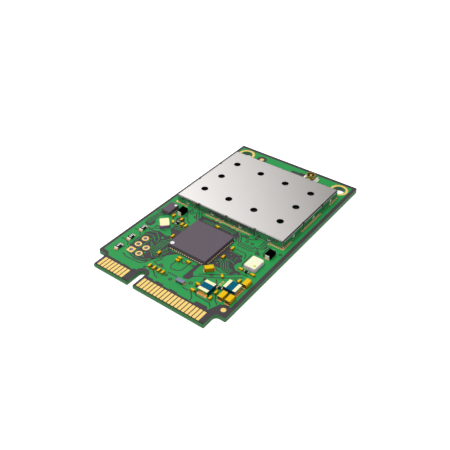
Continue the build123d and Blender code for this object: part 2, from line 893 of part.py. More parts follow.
crystal = (crystal_length, crystal_width, crystal_height)
nodes["crystal_base"] = [ceramic_base(crystal_place, *crystal)]
nodes["crystal_lid"] = [metal_lid(crystal_place, *crystal)]
oscillator = (oscillator_length, oscillator_width, oscillator_height)
nodes["oscillator_base"] = [ceramic_base(oscillator_place, *oscillator)]
nodes["oscillator_lid"] = [metal_lid(oscillator_place, *oscillator)]

coil = (coil_length, coil_width, coil_height)
for name, spot in coil_places.items():
    nodes[name] = [strapped_body(spot, *coil)]
    nodes[f"{name}_ends"] = end_straps(spot, *coil, coil_lap)

bulk = (bulk_length, bulk_width, bulk_height, bulk_cap_length)
for i, spot in enumerate(bulk_places):
    nodes[f"bulk_capacitor_{i + 1}"] = [chip_middle(spot, *bulk)]
nodes["bulk_capacitor_ends"] = [cap for spot in bulk_places for cap in chip_ends(spot, *bulk)]

fuse = (fuse_length, fuse_width, fuse_height)
nodes["supply_fuse"] = [strapped_body(fuse_place, *fuse)]
nodes["supply_fuse_ends"] = end_straps(fuse_place, *fuse, fuse_lap)

groups = {
    "processor_capacitors": processor_capacitor_places,
    "supply_capacitors": supply_capacitor_places,
    "clock_capacitors": clock_capacitor_places,
    "shielded_capacitors": inner_capacitor_places,
    "resistors": resistor_places,
}
for name, places in groups.items():
    nodes[name], nodes[f"{name}_ends"] = small_parts(places)

nodes["indicator_bases"] = [lamp_base(spot) for spot in lamp_places]
nodes["indicator_lenses"] = [lamp_lens(spot) for spot in lamp_places]
nodes["indicator_terminals"] = [t for spot in lamp_places for t in lamp_terminals(spot)]

nodes["antenna_connector_base"] = [connector_base()]
nodes["antenna_connector_shell"] = [connector_shell()]
nodes["antenna_connector_pin"] = [connector_pin()]

nodes["baseband_chip"] = [baseband_place * slab(*square, chip_height)]
for i, spot in enumerate(radio_places):
    nodes[f"radio_chip_{i + 1}"] = [spot * slab(radio_size, radio_size, chip_height)]
nodes["power_amplifier"] = [amplifier_place * slab(amplifier_size, amplifier_size, chip_height)]
nodes["antenna_filter"] = [filter_place * slab(filter_size, filter_size, chip_height)]
nodes["reference_oscillator"] = [reference_place * slab(*crystal)]

os.makedirs("parts", exist_ok=True)
for name, solids in nodes.items():
    export_step(Compound(solids), f"parts/{name}.step")
print(len(nodes), "nodes written")
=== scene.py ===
"""A radio card for a mini card slot: the looks of its laminate, copper, shield and parts.

Metres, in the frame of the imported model: X across the card, Y from its contacts to its antenna end,
Z up out of its component side. Routes and places on the card are in millimetres, across from its
middle and along from its contact edge.
"""
import json
import math

import bmesh
import bpy
from mathutils import Matrix, Vector
from mathutils.geometry import convex_hull_2d

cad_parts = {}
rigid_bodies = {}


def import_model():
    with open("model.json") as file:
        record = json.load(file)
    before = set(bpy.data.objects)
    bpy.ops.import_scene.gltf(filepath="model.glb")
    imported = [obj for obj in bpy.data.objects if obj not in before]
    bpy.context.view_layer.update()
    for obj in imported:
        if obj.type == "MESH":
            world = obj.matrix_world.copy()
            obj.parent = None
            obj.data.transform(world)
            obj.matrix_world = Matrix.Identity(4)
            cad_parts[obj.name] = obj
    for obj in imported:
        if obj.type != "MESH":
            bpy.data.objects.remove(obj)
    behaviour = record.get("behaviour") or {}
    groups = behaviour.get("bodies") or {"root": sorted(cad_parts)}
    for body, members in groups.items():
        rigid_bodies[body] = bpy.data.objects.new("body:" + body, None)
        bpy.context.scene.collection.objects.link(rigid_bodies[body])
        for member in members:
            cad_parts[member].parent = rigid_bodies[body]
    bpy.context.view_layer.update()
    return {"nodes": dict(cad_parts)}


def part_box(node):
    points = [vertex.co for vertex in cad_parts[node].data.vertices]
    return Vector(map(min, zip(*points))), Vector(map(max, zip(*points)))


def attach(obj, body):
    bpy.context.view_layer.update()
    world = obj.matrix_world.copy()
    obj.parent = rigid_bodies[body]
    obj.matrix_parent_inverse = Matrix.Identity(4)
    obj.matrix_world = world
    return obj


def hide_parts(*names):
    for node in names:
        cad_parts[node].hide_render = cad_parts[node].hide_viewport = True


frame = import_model()
nodes = frame["nodes"]

# The laminate: woven glass and resin, routed to shape and filed dark along the contact edge. Green
# mask covers it on both sides, and looks grey-brown where there is no copper under it. The under
# side has one sheet of masked copper, which stops short of the edges.
MM = 0.001
card_low, card_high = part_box("circuit_board")
card_top = card_high.z
contact_edge = card_low.y


class Value:
    """A socket that Python's own operators turn into Math nodes."""

    def __init__(self, web, socket):
        self.web = web
        self.socket = socket

    def maths(self, operation, *values):
        return self.web.node("ShaderNodeMath", {"operation": operation}, dict(enumerate(values)))

    def __add__(self, other):
        return self.maths("ADD", self, other)

    def __radd__(self, other):
        return self.maths("ADD", other, self)

    def __sub__(self, other):
        return self.maths("SUBTRACT", self, other)

    def __rsub__(self, other):
        return self.maths("SUBTRACT", other, self)

    def __mul__(self, other):
        return self.maths("MULTIPLY", self, other)

    def __rmul__(self, other):
        return self.maths("MULTIPLY", other, self)

    def __gt__(self, other):
        return self.maths("GREATER_THAN", self, other)

    def __lt__(self, other):
        return self.maths("LESS_THAN", self, other)

    def sine(self):
        return self.maths("SINE", self)

    def size(self):
        return self.maths("ABSOLUTE", self)

    def at_least(self, other):
        return self.maths("MAXIMUM", self, other)

    def at_most(self, other):
        return self.maths("MINIMUM", self, other)


class Web:
    """A tree of nodes, and one call for each node that goes into it."""

    def __init__(self, tree):
        self.tree = tree

    def put(self, socket, value):
        if isinstance(value, Value):
            self.tree.links.new(value.socket, socket)
        else:
            socket.default_value = value

    def node(self, kind, settings, values, output=0):
        node = self.tree.nodes.new(kind)
        for name, setting in settings.items():
            setattr(node, name, setting)
        for socket, value in values.items():
            self.put(node.inputs[socket], value)
        return Value(self, node.outputs[output])


def tint(red, green, blue):
    """A colour as a screen shows it, from 0 to 255, in the linear values that a shader takes."""
    def linear(level):
        level /= 255
        return level / 12.92 if level <= 0.04045 else ((level + 0.055) / 1.055) ** 2.4

    return (linear(red), linear(green), linear(blue), 1)


class Finish(Web):
    """One material, with its own shader."""

    def __init__(self, name, color, roughness, **constants):
        self.material = bpy.data.materials.new(name)
        self.material.use_nodes = True
        super().__init__(self.material.node_tree)
        self.shader = self.tree.nodes["Principled BSDF"]
        self.feed("Base Color", color)
        self.feed("Roughness", roughness)
        for socket, value in constants.items():
            self.feed(socket.replace("_", " "), value)
        self.here = self.node("ShaderNodeTexCoord", {}, {}, "Object")

    def feed(self, socket, value):
        self.put(self.shader.inputs[socket], value)

    def noise(self, scale, detail=2.0, where=None):
        """Soft random patches, from 0 to 1, about so many to a metre."""
        values = {"Vector": where or self.here, "Scale": scale, "Detail": detail}
        return self.node("ShaderNodeTexNoise", {}, values, "Fac")

    def stretched(self, x, y, z):
        """The place on the piece, stretched by a factor along each axis."""
        settings = {"operation": "MULTIPLY"}
        return self.node("ShaderNodeVectorMath", settings, {0: self.here, 1: (x, y, z)})

    def along(self, axis):
        return self.node("ShaderNodeSeparateXYZ", {}, {"Vector": self.here}, axis)

    def facing(self, axis):
        """How far the surface faces along an axis, from -1 to 1."""
        normal = self.node("ShaderNodeTexCoord", {}, {}, "Normal")
        return self.node("ShaderNodeSeparateXYZ", {}, {"Vector": normal}, axis)

    def blend(self, share, first, second):
        """One colour changing into another as the share goes from 0 to 1."""
        settings = {"data_type": "RGBA"}
        return self.node("ShaderNodeMix", settings, {0: share, 6: first, 7: second}, 2)

    def relief(self, height, distance):
        """A fine bump: the height from 0 to 1, over so many metres."""
        values = {"Height": height, "Distance": distance, "Strength": 1.0}
        self.feed("Normal", self.node("ShaderNodeBump", {}, values, "Normal"))


def dress(node, finish):
    """Gives a CAD node its material."""
    nodes[node].data.materials.clear()
    nodes[node].data.materials.append(finish.material)


bare_color, bare_pale, bare_dark = tint(62, 57, 62), tint(70, 64, 69), tint(30, 30, 32)
edge_color, edge_dark = tint(50, 116, 62), tint(34, 70, 44)
mask_color, mask_deep = tint(34, 162, 79), tint(27, 146, 69)
skin = 0.04 * MM
side_border, end_border = 0.7 * MM, 3.1 * MM
filed_width = 0.4 * MM
cloth_pitch = 0.45 * MM
seam_height, seam_half = 0.66 * MM, 0.07 * MM
laminate = Finish("laminate under mask", bare_color, 0.45, Specular_IOR_Level=0.25)
wave = math.tau / cloth_pitch
cloth = (laminate.along("X") * wave).sine() * (laminate.along("Y") * wave).sine() * 0.5 + 0.5
seam = (laminate.along("Z") - seam_height).size() < seam_half
upper = laminate.along("Z") > card_top - skin
under = laminate.along("Z") < skin
inside_x = laminate.along("X").size() < card_high.x - side_border
inside_y = laminate.along("Y").size() < card_high.y - end_border
woven = laminate.blend(cloth * 0.35 + laminate.noise(900) * 0.3, bare_color, bare_pale)
filed = upper * (laminate.along("Y") < contact_edge + filed_width)
bare = laminate.blend(filed, woven, bare_dark)
masked = laminate.blend(laminate.noise(350), mask_color, mask_deep)
edge = laminate.blend(seam * 0.8 + laminate.noise(2500) * 0.15, edge_color, edge_dark)
face = laminate.blend(under * inside_x * inside_y, bare, masked)
laminate.feed("Base Color", laminate.blend(upper + under, edge, face))
laminate.feed("Roughness", 0.62 - (upper + under) * 0.2)
laminate.relief(cloth * 0.6 + laminate.noise(6000) * 0.6, 0.004 * MM)
dress("circuit_board", laminate)

# The copper of the upper face: one poured ground plane with gaps etched round each track, and the
# tracks themselves. The mask over copper is the bright green that fills most of the card. It opens
# round each gold land, and round the two leadless chips the pour is cut back, leaving dark laminate.
copper_rise, copper_sink = 0.02 * MM, 0.005 * MM
gap_width = 0.24 * MM
track_width = 0.16 * MM


def on_card(x, y, z=0.0):
    """A point on the card's upper face, from millimetres across and along, and a height in metres."""
    return Vector((x * MM, contact_edge + y * MM, card_top + z))


def scene_object(name, mesh):
    item = bpy.data.objects.new(name, mesh)
    bpy.context.scene.collection.objects.link(item)
    return item


def made_mesh(name, shape):
    """Turns a bmesh into a mesh, with its faces outwards, and frees it."""
    bmesh.ops.recalc_face_normals(shape, faces=shape.faces)
    mesh = bpy.data.meshes.new(name)
    shape.to_mesh(mesh)
    shape.free()
    return mesh


def add_plate(shape, outline, low, high):
    """Adds a flat plate between two heights above the card, with an outline in card millimetres."""
    foot = [shape.verts.new(on_card(x, y, low)) for x, y in outline]
    head = [shape.verts.new(on_card(x, y, high)) for x, y in outline]
    shape.faces.new(foot)
    shape.faces.new(head)
    for i in range(len(outline)):
        j = (i + 1) % len(outline)
        shape.faces.new((foot[i], foot[j], head[j], head[i]))


def plates(name, outlines, low, high):
    shape = bmesh.new()
    for outline in outlines:
        add_plate(shape, outline, low, high)
    return scene_object(name, made_mesh(name, shape))


def ring_outline(x, y, radius, sides=24):
    turns = [math.tau * i / sides for i in range(sides)]
    return [(x + radius * math.cos(t), y + radius * math.sin(t)) for t in turns]


def box_outline(x0, x1, y0, y1):
    return [(x0, y0), (x1, y0), (x1, y1), (x0, y1)]


def merged(node):
    """A copy of a CAD node's shape, with the corners of its loose triangles merged."""
    shape = bmesh.new()
    shape.from_mesh(nodes[node].data)
    bmesh.ops.remove_doubles(shape, verts=shape.verts, dist=1e-7)
    return shape


def islands(node):
    """The separate solids of a CAD node, each as a list of its corners."""
    shape = merged(node)
    seen, found = set(), []
    for start in shape.verts:
        if start in seen:
            continue
        seen.add(start)
        waiting, island = [start], []
        while waiting:
            vert = waiting.pop()
            island.append(vert.co.copy())
            for other in (link.other_vert(vert) for link in vert.link_edges):
                if other not in seen:
                    seen.add(other)
                    waiting.append(other)
        found.append(island)
    shape.free()
    return found


def around(corners, margin, inset=0.0):
    """The outline, in card millimetres, that goes round the corners with a margin.

    With an inset, the box of the corners is drawn in by it first.
    """
    spots = [(corner.x / MM, (corner.y - contact_edge) / MM) for corner in corners]
    if inset:
        xs, ys = zip(*spots)
        spots = box_outline(min(xs) + inset, max(xs) - inset, min(ys) + inset, max(ys) - inset)
    reach = []
    for x, y in spots:
        reach += ring_outline(x, y, margin, 12)
    return [reach[i] for i in convex_hull_2d([Vector(point) for point in reach])]


def route_mesh(name, routes, z=0.0, closed=False):
    """Chains of edges, one for each route."""
    mesh = bpy.data.meshes.new(name)
    points, edges = [], []
    for route in routes:
        first, count = len(points), len(route)
        points += [on_card(x, y, z) for x, y in route]
        edges += [(first + i, first + (i + 1) % count) for i in range(count if closed else count - 1)]
    mesh.from_pydata(points, edges, [])
    return mesh


def beside(route, distance):
    """The route moved to its left, each corner kept on the bisector."""
    points = [Vector(p) for p in route]
    moved = []
    for i, point in enumerate(points):
        before = (point - points[i - 1]).normalized() if i else (points[1] - point).normalized()
        after = (points[i + 1] - point).normalized() if i < len(points) - 1 else before
        normal = Vector((-(before + after).y, (before + after).x)).normalized()
        reach = distance / max(0.5, normal.dot(Vector((-before.y, before.x))))
        moved.append(tuple(point + normal * reach))
    return moved


def bundle(route, count, pitch):
    """Routes side by side, the given one in the middle."""
    return [beside(route, (i - (count - 1) / 2) * pitch) for i in range(count)]


class Grower(Web):
    """A Geometry Nodes tree with named inputs, one of them the material that its result wears."""

    def __init__(self, name, **inputs):
        super().__init__(bpy.data.node_groups.new(name, "GeometryNodeTree"))
        for label, kind in inputs.items():
            self.tree.interface.new_socket(
                label, in_out="INPUT", socket_type=f"NodeSocket{kind}"
            )
        self.tree.interface.new_socket(
            "Geometry", in_out="OUTPUT", socket_type="NodeSocketGeometry"
        )
        sockets = self.tree.nodes.new("NodeGroupInput").outputs
        self.given = {label: Value(self, sockets[label]) for label in inputs}

    def ended(self, geometry):
        """The tree, ended in real geometry."""
        real = self.node("GeometryNodeRealizeInstances", {}, {"Geometry": geometry})
        dressed = self.node(
            "GeometryNodeSetMaterial", {}, {"Geometry": real, "Material": self.given["Material"]}
        )
        self.put(self.tree.nodes.new("NodeGroupOutput").inputs[0], dressed)
        return self.tree


def track_tree():
    """Sweeps a flat box section along every chain of edges."""
    web = Grower(
        "swept track", Geometry="Geometry", Width="Float", Height="Float", Material="Material"
    )
    route = web.node("GeometryNodeMeshToCurve", {}, {"Mesh": web.given["Geometry"]})
    upright = web.node("GeometryNodeSetCurveNormal", {"mode": "Z_UP"}, {"Curve": route})
    section = web.node(
        "GeometryNodeCurvePrimitiveQuadrilateral", {},
        {"Width": web.given["Width"], "Height": web.given["Height"]},
    )
    return web.ended(web.node(
        "GeometryNodeCurveToMesh", {},
        {"Curve": upright, "Profile Curve": section, "Fill Caps": True},
    ))


def grown(name, mesh, tree, **inputs):
    """Runs a Geometry Nodes tree on a mesh and keeps the result as a plain mesh."""
    item = scene_object(name, mesh)
    modifier = item.modifiers.new("tree", "NODES")
    modifier.node_group = tree
    for socket in tree.interface.items_tree:
        if socket.item_type == "SOCKET" and socket.in_out == "INPUT" and socket.name in inputs:
            modifier[socket.identifier] = inputs[socket.name]
    return settled(item)


def settled(item):
    """Makes what an object's modifiers give its own plain mesh, and removes them."""
    view = bpy.context.evaluated_depsgraph_get()
    mesh = bpy.data.meshes.new_from_object(item.evaluated_get(view))
    item.modifiers.clear()
    item.data = mesh
    return item


def keep(piece, finish=None):
    """A finished piece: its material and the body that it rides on."""
    if finish:
        piece.data.materials.clear()
        piece.data.materials.append(finish.material)
    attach(piece, "root")


mask = Finish("green mask over copper", mask_color, 0.4, Specular_IOR_Level=0.25)
patches = mask.noise(350) * 0.5 + mask.noise(2400) * 0.3
mask.feed("Base Color", mask.blend(patches, mask_color, mask_deep))
mask.relief(mask.noise(5000), 0.004 * MM)

swept_track = track_tree()

left_border, right_border, back_border = 0.65, 0.78, 0.85
card_half = card_high.x / MM
card_length = (card_high.y - card_low.y) / MM
pour_left, pour_right = -card_half + left_border, card_half - right_border
pour_outline = [
    (pour_left, card_length - back_border), (pour_right, card_length - back_border),
    (pour_right, 5.7), (12.3, 5.6), (11.9, 4.6), (11.3, 3.1), (-12.1, 3.1), (-12.4, 3.5),
    (-13.1, 4.1), (pour_left, 4.2),
]
key_x, key_middle, key_reach = -3.85, 3.25, 1.45
bare_areas = [
    # round the key notch and behind the contacts
    ring_outline(key_x, key_middle, key_reach),
    box_outline(key_x - key_reach, key_x + key_reach, 2.5, key_middle),
    box_outline(-6.0, -5.1, 3.0, 3.45), box_outline(-3.0, -1.0, 3.0, 3.35),
    box_outline(-0.4, 1.4, 3.0, 3.42), box_outline(2.85, 4.6, 3.0, 3.35),
    [(8.4, 3.0), (8.6, 3.75), (10.9, 3.75), (11.4, 3.0)],
    box_outline(-12.3, -9.0, 3.0, 3.25), box_outline(-8.4, -6.7, 3.0, 3.25),
    # round the two targets
    ring_outline(13.55, 4.8, 1.25), ring_outline(-8.0, 48.3, 1.2),
    # round the header, and from there to the processor
    [(-11.3, 12.6), (-11.5, 10.2), (-11.3, 8.0), (-10.6, 6.3), (-9.5, 5.9), (-8.0, 5.5), (-6.5, 5.6),
     (-5.1, 6.3), (-5.0, 7.0), (-4.4, 7.6), (-3.6, 8.6), (-3.5, 9.6), (-2.7, 10.6), (-2.2, 11.1),
     (-1.5, 11.4), (-1.5, 12.0), (-5.1, 12.0), (-5.1, 18.2), (-6.8, 18.1), (-8.0, 17.6), (-8.1, 16.2),
     (-7.2, 15.4), (-6.5, 14.5), (-7.2, 13.9), (-8.3, 14.3), (-9.5, 14.4), (-10.8, 13.6)],
    # behind the lamps, left of the crystal
    [(-13.4, 20.0), (-13.7, 18.2), (-13.9, 16.0), (-13.6, 14.8), (-12.7, 14.4), (-11.9, 14.8),
     (-11.8, 15.9), (-12.5, 16.9), (-12.5, 18.6), (-11.7, 19.5), (-12.2, 20.3)],
    # between the crystal and the processor
    [(-9.4, 19.5), (-8.9, 18.9), (-8.4, 18.2), (-7.7, 18.2), (-7.2, 18.6), (-5.9, 18.8), (-5.9, 19.4),
     (-7.2, 19.5), (-8.2, 20.8), (-8.9, 20.6)],
    # between the four capacitors at the contacts
    box_outline(-4.2, -1.1, 5.6, 6.1),
    # by the left side of the front coil
    box_outline(6.0, 6.6, 8.6, 9.2), box_outline(6.0, 6.7, 6.3, 7.0),
    # under the lamps
    box_outline(-12.95, -11.95, 5.9, 6.6), box_outline(-12.95, -11.95, 9.35, 10.05),
    box_outline(-12.95, -11.95, 12.8, 13.5),
    # behind the processor
    [(-5.6, 23.4), (-5.6, 21.6), (4.4, 21.4), (3.9, 22.9), (3.4, 23.4), (1.5, 23.6), (-3.0, 23.5)],
    # right of the processor
    [(4.3, 18.7), (5.6, 18.7), (5.8, 18.2), (8.1, 18.2), (8.3, 17.5), (8.9, 16.8), (8.9, 16.4),
     (8.5, 16.0), (8.4, 14.9), (9.2, 14.2), (10.6, 14.1), (10.5, 13.6), (9.9, 13.5), (9.3, 12.6),
     (7.9, 12.3), (6.6, 12.8), (5.2, 12.7), (4.3, 12.9)],
    # the long wedge left of the front coil
    [(2.7, 11.4), (2.65, 7.6), (2.6, 7.2), (3.0, 6.8), (4.0, 7.1), (4.3, 8.2), (3.5, 9.0), (3.4, 11.4)],
    # by the antenna connector, whose line is kept clear of the pour
    [(0.1, 47.9), (0.1, 48.55), (1.0, 48.7), (1.5, 48.62), (2.1, 48.85), (3.8, 49.15), (3.9, 47.9)],
]
fine_gaps = [
    # the loop in front of the processor, with a small one beside it
    [(-1.0, 9.7), (-1.0, 8.1), (-0.35, 7.35), (0.1, 7.6), (0.7, 7.6), (1.45, 8.3), (1.47, 11.0)],
    [(-0.45, 10.4), (0.1, 9.9), (0.55, 9.75), (1.05, 10.15), (0.9, 10.6), (0.5, 10.5)],
    [(-0.2, 6.4), (2.0, 6.4)],
    # by the four capacitors at the contacts
    [(-4.2, 5.2), (-2.6, 5.05), (-2.1, 4.7), (-1.6, 4.3), (-0.8, 4.1)],
    [(-4.0, 6.95), (-2.9, 6.75), (-1.6, 6.9)],
    # round the front coil, and from there to the contacts
    [(5.9, 5.4), (6.9, 4.35), (7.4, 3.8), (7.5, 3.2)],
    [(6.9, 6.4), (7.1, 5.2), (7.6, 4.75), (10.6, 4.7), (11.3, 4.0)],
    [(4.4, 4.9), (5.6, 4.9), (6.2, 5.4)],
    [(9.8, 8.1), (10.4, 6.8), (11.0, 5.8), (11.9, 5.1)],
    [(6.3, 6.6), (6.3, 8.7), (6.7, 9.1)],
    # each side of the green band that runs from the wedge to the right-hand parts
    [(4.1, 8.1), (5.3, 9.2), (6.4, 9.5), (9.3, 11.5), (11.6, 13.3)],
    [(4.6, 9.3), (5.3, 9.8), (8.9, 12.2), (11.0, 14.0), (12.1, 14.1)],
    # round the clock oscillator
    [(9.3, 19.4), (9.3, 16.4), (9.7, 15.6)],
    # behind the oscillator and under the shield's front edge
    [(8.4, 21.2), (8.8, 21.6), (9.7, 21.8), (10.3, 22.3), (10.4, 23.2)],
    [(5.4, 20.5), (5.4, 20.1), (8.5, 20.1), (8.9, 20.6), (9.4, 20.8)],
    [(5.8, 19.0), (8.1, 19.0), (8.6, 18.4), (8.7, 17.6)],
    [(9.6, 19.9), (9.5, 20.3), (9.8, 20.65), (10.2, 20.6), (10.4, 20.2), (10.3, 19.9)],
    [(10.9, 23.3), (10.7, 22.2), (10.8, 21.0), (11.2, 20.4), (11.9, 20.1)],
    # left side
    [(-13.9, 12.2), (-12.9, 12.2), (-12.0, 11.7), (-11.6, 11.2)],
    [(-13.9, 8.6), (-12.9, 8.6), (-11.9, 8.2), (-11.5, 7.6)],
    [(-12.1, 5.0), (-11.9, 6.6), (-11.4, 7.0)],
    [(-14.0, 19.0), (-13.9, 20.6), (-13.6, 21.0)],
    [(-8.7, 24.1), (-8.8, 22.6), (-8.3, 21.9), (-8.2, 21.0)],
    [(-10.6, 14.6), (-9.9, 15.1), (-9.0, 15.0), (-8.4, 15.3)],
    [(-11.2, 15.4), (-10.6, 15.6), (-10.2, 15.3)],
    # behind the shield
    [(-11.6, 46.6), (-9.4, 46.6), (-9.1, 47.2)], [(-6.9, 47.2), (-6.5, 46.7), (-1.0, 46.4)],
]
fine_gaps += bundle([(9.55, 24.1), (9.55, 22.1)], 3, 0.5)
fine_gaps += bundle([(3.2, 23.5), (4.3, 22.3), (5.0, 20.9)], 3, 0.46)
fine_gaps += bundle([(-7.0, 24.1), (-6.2, 22.9), (-5.4, 21.9)], 3, 0.5)
fine_gaps += bundle([(-8.6, 23.5), (-8.1, 22.9), (-7.4, 22.8)], 2, 0.5)
fine_gaps += [[(5.35 + 0.5 * i, 20.4), (5.35 + 0.5 * i, 21.35)] for i in range(7)]
fine_gaps += [[(x, 23.2), (x + 1.2, 23.9)] for x in (-3.6, -2.4, 0.4, 1.6)]
fine_gaps += [
    # the closed loop behind the comb, and the lines that come to it from the shield
    [(5.1, 23.7), (5.1, 23.0), (5.7, 22.7), (6.7, 23.1), (7.7, 23.8)],
    [(8.3, 21.6), (9.0, 21.5), (9.6, 20.9), (9.7, 20.5)],
    # between the crystal and the header
    [(-12.2, 14.0), (-10.3, 13.9), (-9.3, 14.4), (-8.1, 13.9), (-6.8, 14.3), (-6.2, 14.9)],
    [(-11.5, 13.4), (-10.9, 14.5), (-10.9, 15.6)],
    [(-8.3, 17.6), (-7.7, 16.9), (-7.0, 16.0), (-6.2, 15.6)],
    # in front of the header and the lamps
    [(-10.6, 5.4), (-9.4, 5.0), (-6.2, 5.2), (-5.2, 6.1)],
    [(-3.4, 8.6), (-3.7, 7.8), (-4.2, 7.0)],
    # left of the interface chip and round the capacitors behind the crystal
    [(-10.6, 19.9), (-10.1, 19.3), (-9.6, 18.9)],
    [(-8.6, 21.5), (-7.7, 21.2), (-7.2, 20.4), (-6.2, 19.9)],
    # by the front coil and the right-hand bulk capacitors
    [(8.0, 10.1), (8.6, 9.4), (9.4, 8.6)], [(12.3, 12.0), (11.2, 11.9), (10.6, 12.2)],
    [(5.4, 11.6), (6.0, 12.4), (7.6, 12.0)],
]
small_loops = [
    (-2.55, 7.1, 0.26), (0.0, 5.6, 0.26), (1.3, 5.2, 0.26), (6.3, 22.1, 0.26), (7.5, 22.1, 0.26),
    (2.4, 10.4, 0.22), (-6.6, 22.1, 0.24), (4.9, 6.6, 0.3), (6.6, 10.5, 0.28), (4.8, 23.1, 0.26),
    (9.9, 20.2, 0.2), (7.2, 24.0, 0.24), (-12.7, 22.9, 0.22), (5.6, 23.3, 0.24), (12.9, 10.9, 0.2),
    (-4.6, 4.9, 0.2), (13.6, 22.6, 0.24),
]
tracks = [
    # round and through the header
    [(-9.9, 6.15), (-9.05, 6.2), (-8.5, 5.95), (-6.6, 6.0), (-5.5, 6.9), (-4.4, 8.3), (-4.3, 9.9)],
    [(-9.07, 6.5), (-9.07, 12.0), (-8.6, 12.6)],
    [(-11.05, 8.2), (-11.15, 11.9), (-10.6, 12.5), (-9.7, 12.7), (-8.9, 12.4), (-8.0, 11.5)],
    [(-10.6, 13.3), (-9.6, 13.9), (-8.6, 13.2), (-7.8, 12.6), (-7.5, 11.4)],
    [(-8.5, 11.2), (-8.2, 10.7), (-7.0, 9.4), (-6.2, 8.5), (-5.5, 7.9)],
    [(-8.0, 10.9), (-6.9, 9.8), (-6.0, 8.9), (-5.0, 8.4)],
    [(-4.0, 10.9), (-4.1, 9.6)], [(-3.2, 11.3), (-4.4, 11.3), (-4.8, 10.6), (-4.8, 9.4)],
    # right of the processor
    [(5.5, 15.7), (7.5, 15.7), (8.1, 15.3)], [(5.7, 17.95), (7.7, 17.95)],
]
tracks += bundle([(-6.2, 8.6), (-6.4, 12.2), (-5.3, 13.7)], 4, 0.42)
tracks += bundle([(-7.6, 16.9), (-6.6, 17.4), (-5.3, 17.4)], 2, 0.46)
tracks += bundle([(5.2, 15.3), (6.4, 14.7), (7.4, 13.3), (8.9, 13.0)], 4, 0.42)
tracks += bundle([(-13.1, 15.2), (-13.1, 16.6), (-13.0, 18.4), (-12.2, 19.4)], 3, 0.42)
tracks += bundle([(-4.6, 22.4), (-1.9, 22.4), (-1.2, 22.9), (3.0, 22.8)], 2, 0.5)
tracks += bundle([(-4.9, 11.4), (-3.9, 11.6), (-1.9, 11.7)], 2, 0.4)
tracks += bundle([(-5.3, 6.6), (-4.6, 7.8), (-3.9, 9.0)], 2, 0.4)
tracks += bundle([(-8.7, 19.4), (-8.0, 18.9), (-6.2, 19.0)], 2, 0.3)
green_lands = [
    (5.4, 13.7, 0.16), (4.7, 14.2, 0.14), (8.1, 17.4, 0.14), (7.6, 16.9, 0.14), (6.8, 16.4, 0.14),
    (7.6, 16.3, 0.14), (6.1, 17.2, 0.14), (-7.5, 13.2, 0.3), (-7.3, 7.9, 0.2), (-5.4, 9.9, 0.2),
    (-6.9, 6.9, 0.22), (-11.0, 7.6, 0.16), (-0.4, 22.4, 0.14),
    (2.6, 22.2, 0.14), (-12.1, 16.3, 0.14), (-8.1, 20.2, 0.13),
]

# Cuts are kept apart, because the boolean joins overlapping cutters only if each is its own piece.
cuts = bpy.data.collections.new("cuts in the pour")
bpy.context.scene.collection.children.link(cuts)
cut_reach = 0.1 * MM


def as_cut(item):
    bpy.context.scene.collection.objects.unlink(item)
    cuts.objects.link(item)


openings = list(bare_areas)
for node, mask_margin, lap in (
    ("component_pads", 0.07, 0), ("shield_pads", 0.15, 0.42), ("bolt_hole_rings", 0.02, 0),
    ("header_hole_plating", 0.08, 0),
):
    openings += [around(island, mask_margin, lap) for island in islands(node)]
for node, clear in (("processor_terminals", 0.3), ("interface_chip_terminals", 0.15)):
    openings.append(around([corner for island in islands(node) for corner in island], clear))
for i, area in enumerate(openings):
    as_cut(plates(f"opening {i}", [area], -cut_reach, cut_reach))
gap_size = {"Width": gap_width, "Height": 2 * cut_reach}
for i, route in enumerate(fine_gaps):
    as_cut(grown(f"gap {i}", route_mesh("gap", [route]), swept_track, **gap_size))
for i, (x, y, radius) in enumerate(small_loops):
    loop = route_mesh("loop", [ring_outline(x, y, radius, 14)], closed=True)
    as_cut(grown(f"loop {i}", loop, swept_track, **gap_size))

pour = plates("ground_pour", [pour_outline], -copper_sink, copper_rise)
less = pour.modifiers.new("cuts", "BOOLEAN")
less.operand_type = "COLLECTION"
less.collection = cuts
less.operation = "DIFFERENCE"
less.solver = "MANIFOLD"
settled(pour)
for cut in list(cuts.objects):
    bpy.data.objects.remove(cut)
bpy.data.collections.remove(cuts)
keep(pour, mask)

signal_tracks = grown(
    "signal_tracks", route_mesh("signal_tracks", tracks, copper_rise / 2), swept_track,
    Width=track_width, Height=copper_rise, Material=mask.material,
)
keep(signal_tracks)
round_lands = plates(
    "round_lands", [ring_outline(x, y, radius, 14) for x, y, radius in green_lands],
    -copper_sink, copper_rise,
)
keep(round_lands, mask)

# Gold over nickel on everything that the mask leaves bare: the edge contacts, the rings of the bolt
# holes and header, the targets and the lands. It is plated after etching, and a little uneven. Inside
# the holes the gold is painted over with a dull lilac grey: painted shade and painted reflection.
gold_color, gold_deep = tint(255, 221, 132), tint(244, 198, 104)
hole_shade_color = tint(186, 180, 192)
gold_shine = 0.3
lining_top, lining_foot = card_top - 0.05 * MM, 0.031 * MM


def plated(name, pale, deep):
    """Gold in two shades, and what its own piece may need: that gold, and where it lines a hole."""
    finish = Finish(name, pale, 0.3, Specular_IOR_Level=0.3)
    wiped = finish.noise(1800, 4.0, finish.stretched(1, 0.15, 1))
    finish.lining = (finish.along("Z") < lining_top) - (finish.along("Z") < lining_foot)
    finish.gold = finish.blend(wiped * 0.6, pale, deep)
    # Inside the holes the base colour is painted shade and reflection in place of the gold, with no
    # metal.
    finish.feed("Base Color", finish.blend(finish.lining, finish.gold, hole_shade_color))
    finish.feed("Metallic", (1 - finish.lining) * gold_shine)
    finish.feed("Roughness", wiped * 0.14 + 0.16)
    finish.relief(wiped, 0.003 * MM)
    return finish


gold = plated("gold plating", gold_color, gold_deep)
for name in (
    "edge_contacts_top", "edge_contacts_bottom", "fiducial_marks", "header_hole_plating",
):
    dress(name, gold)
wetted = plated("wetted land", tint(246, 186, 116), tint(228, 150, 84))
dress("component_pads", wetted)

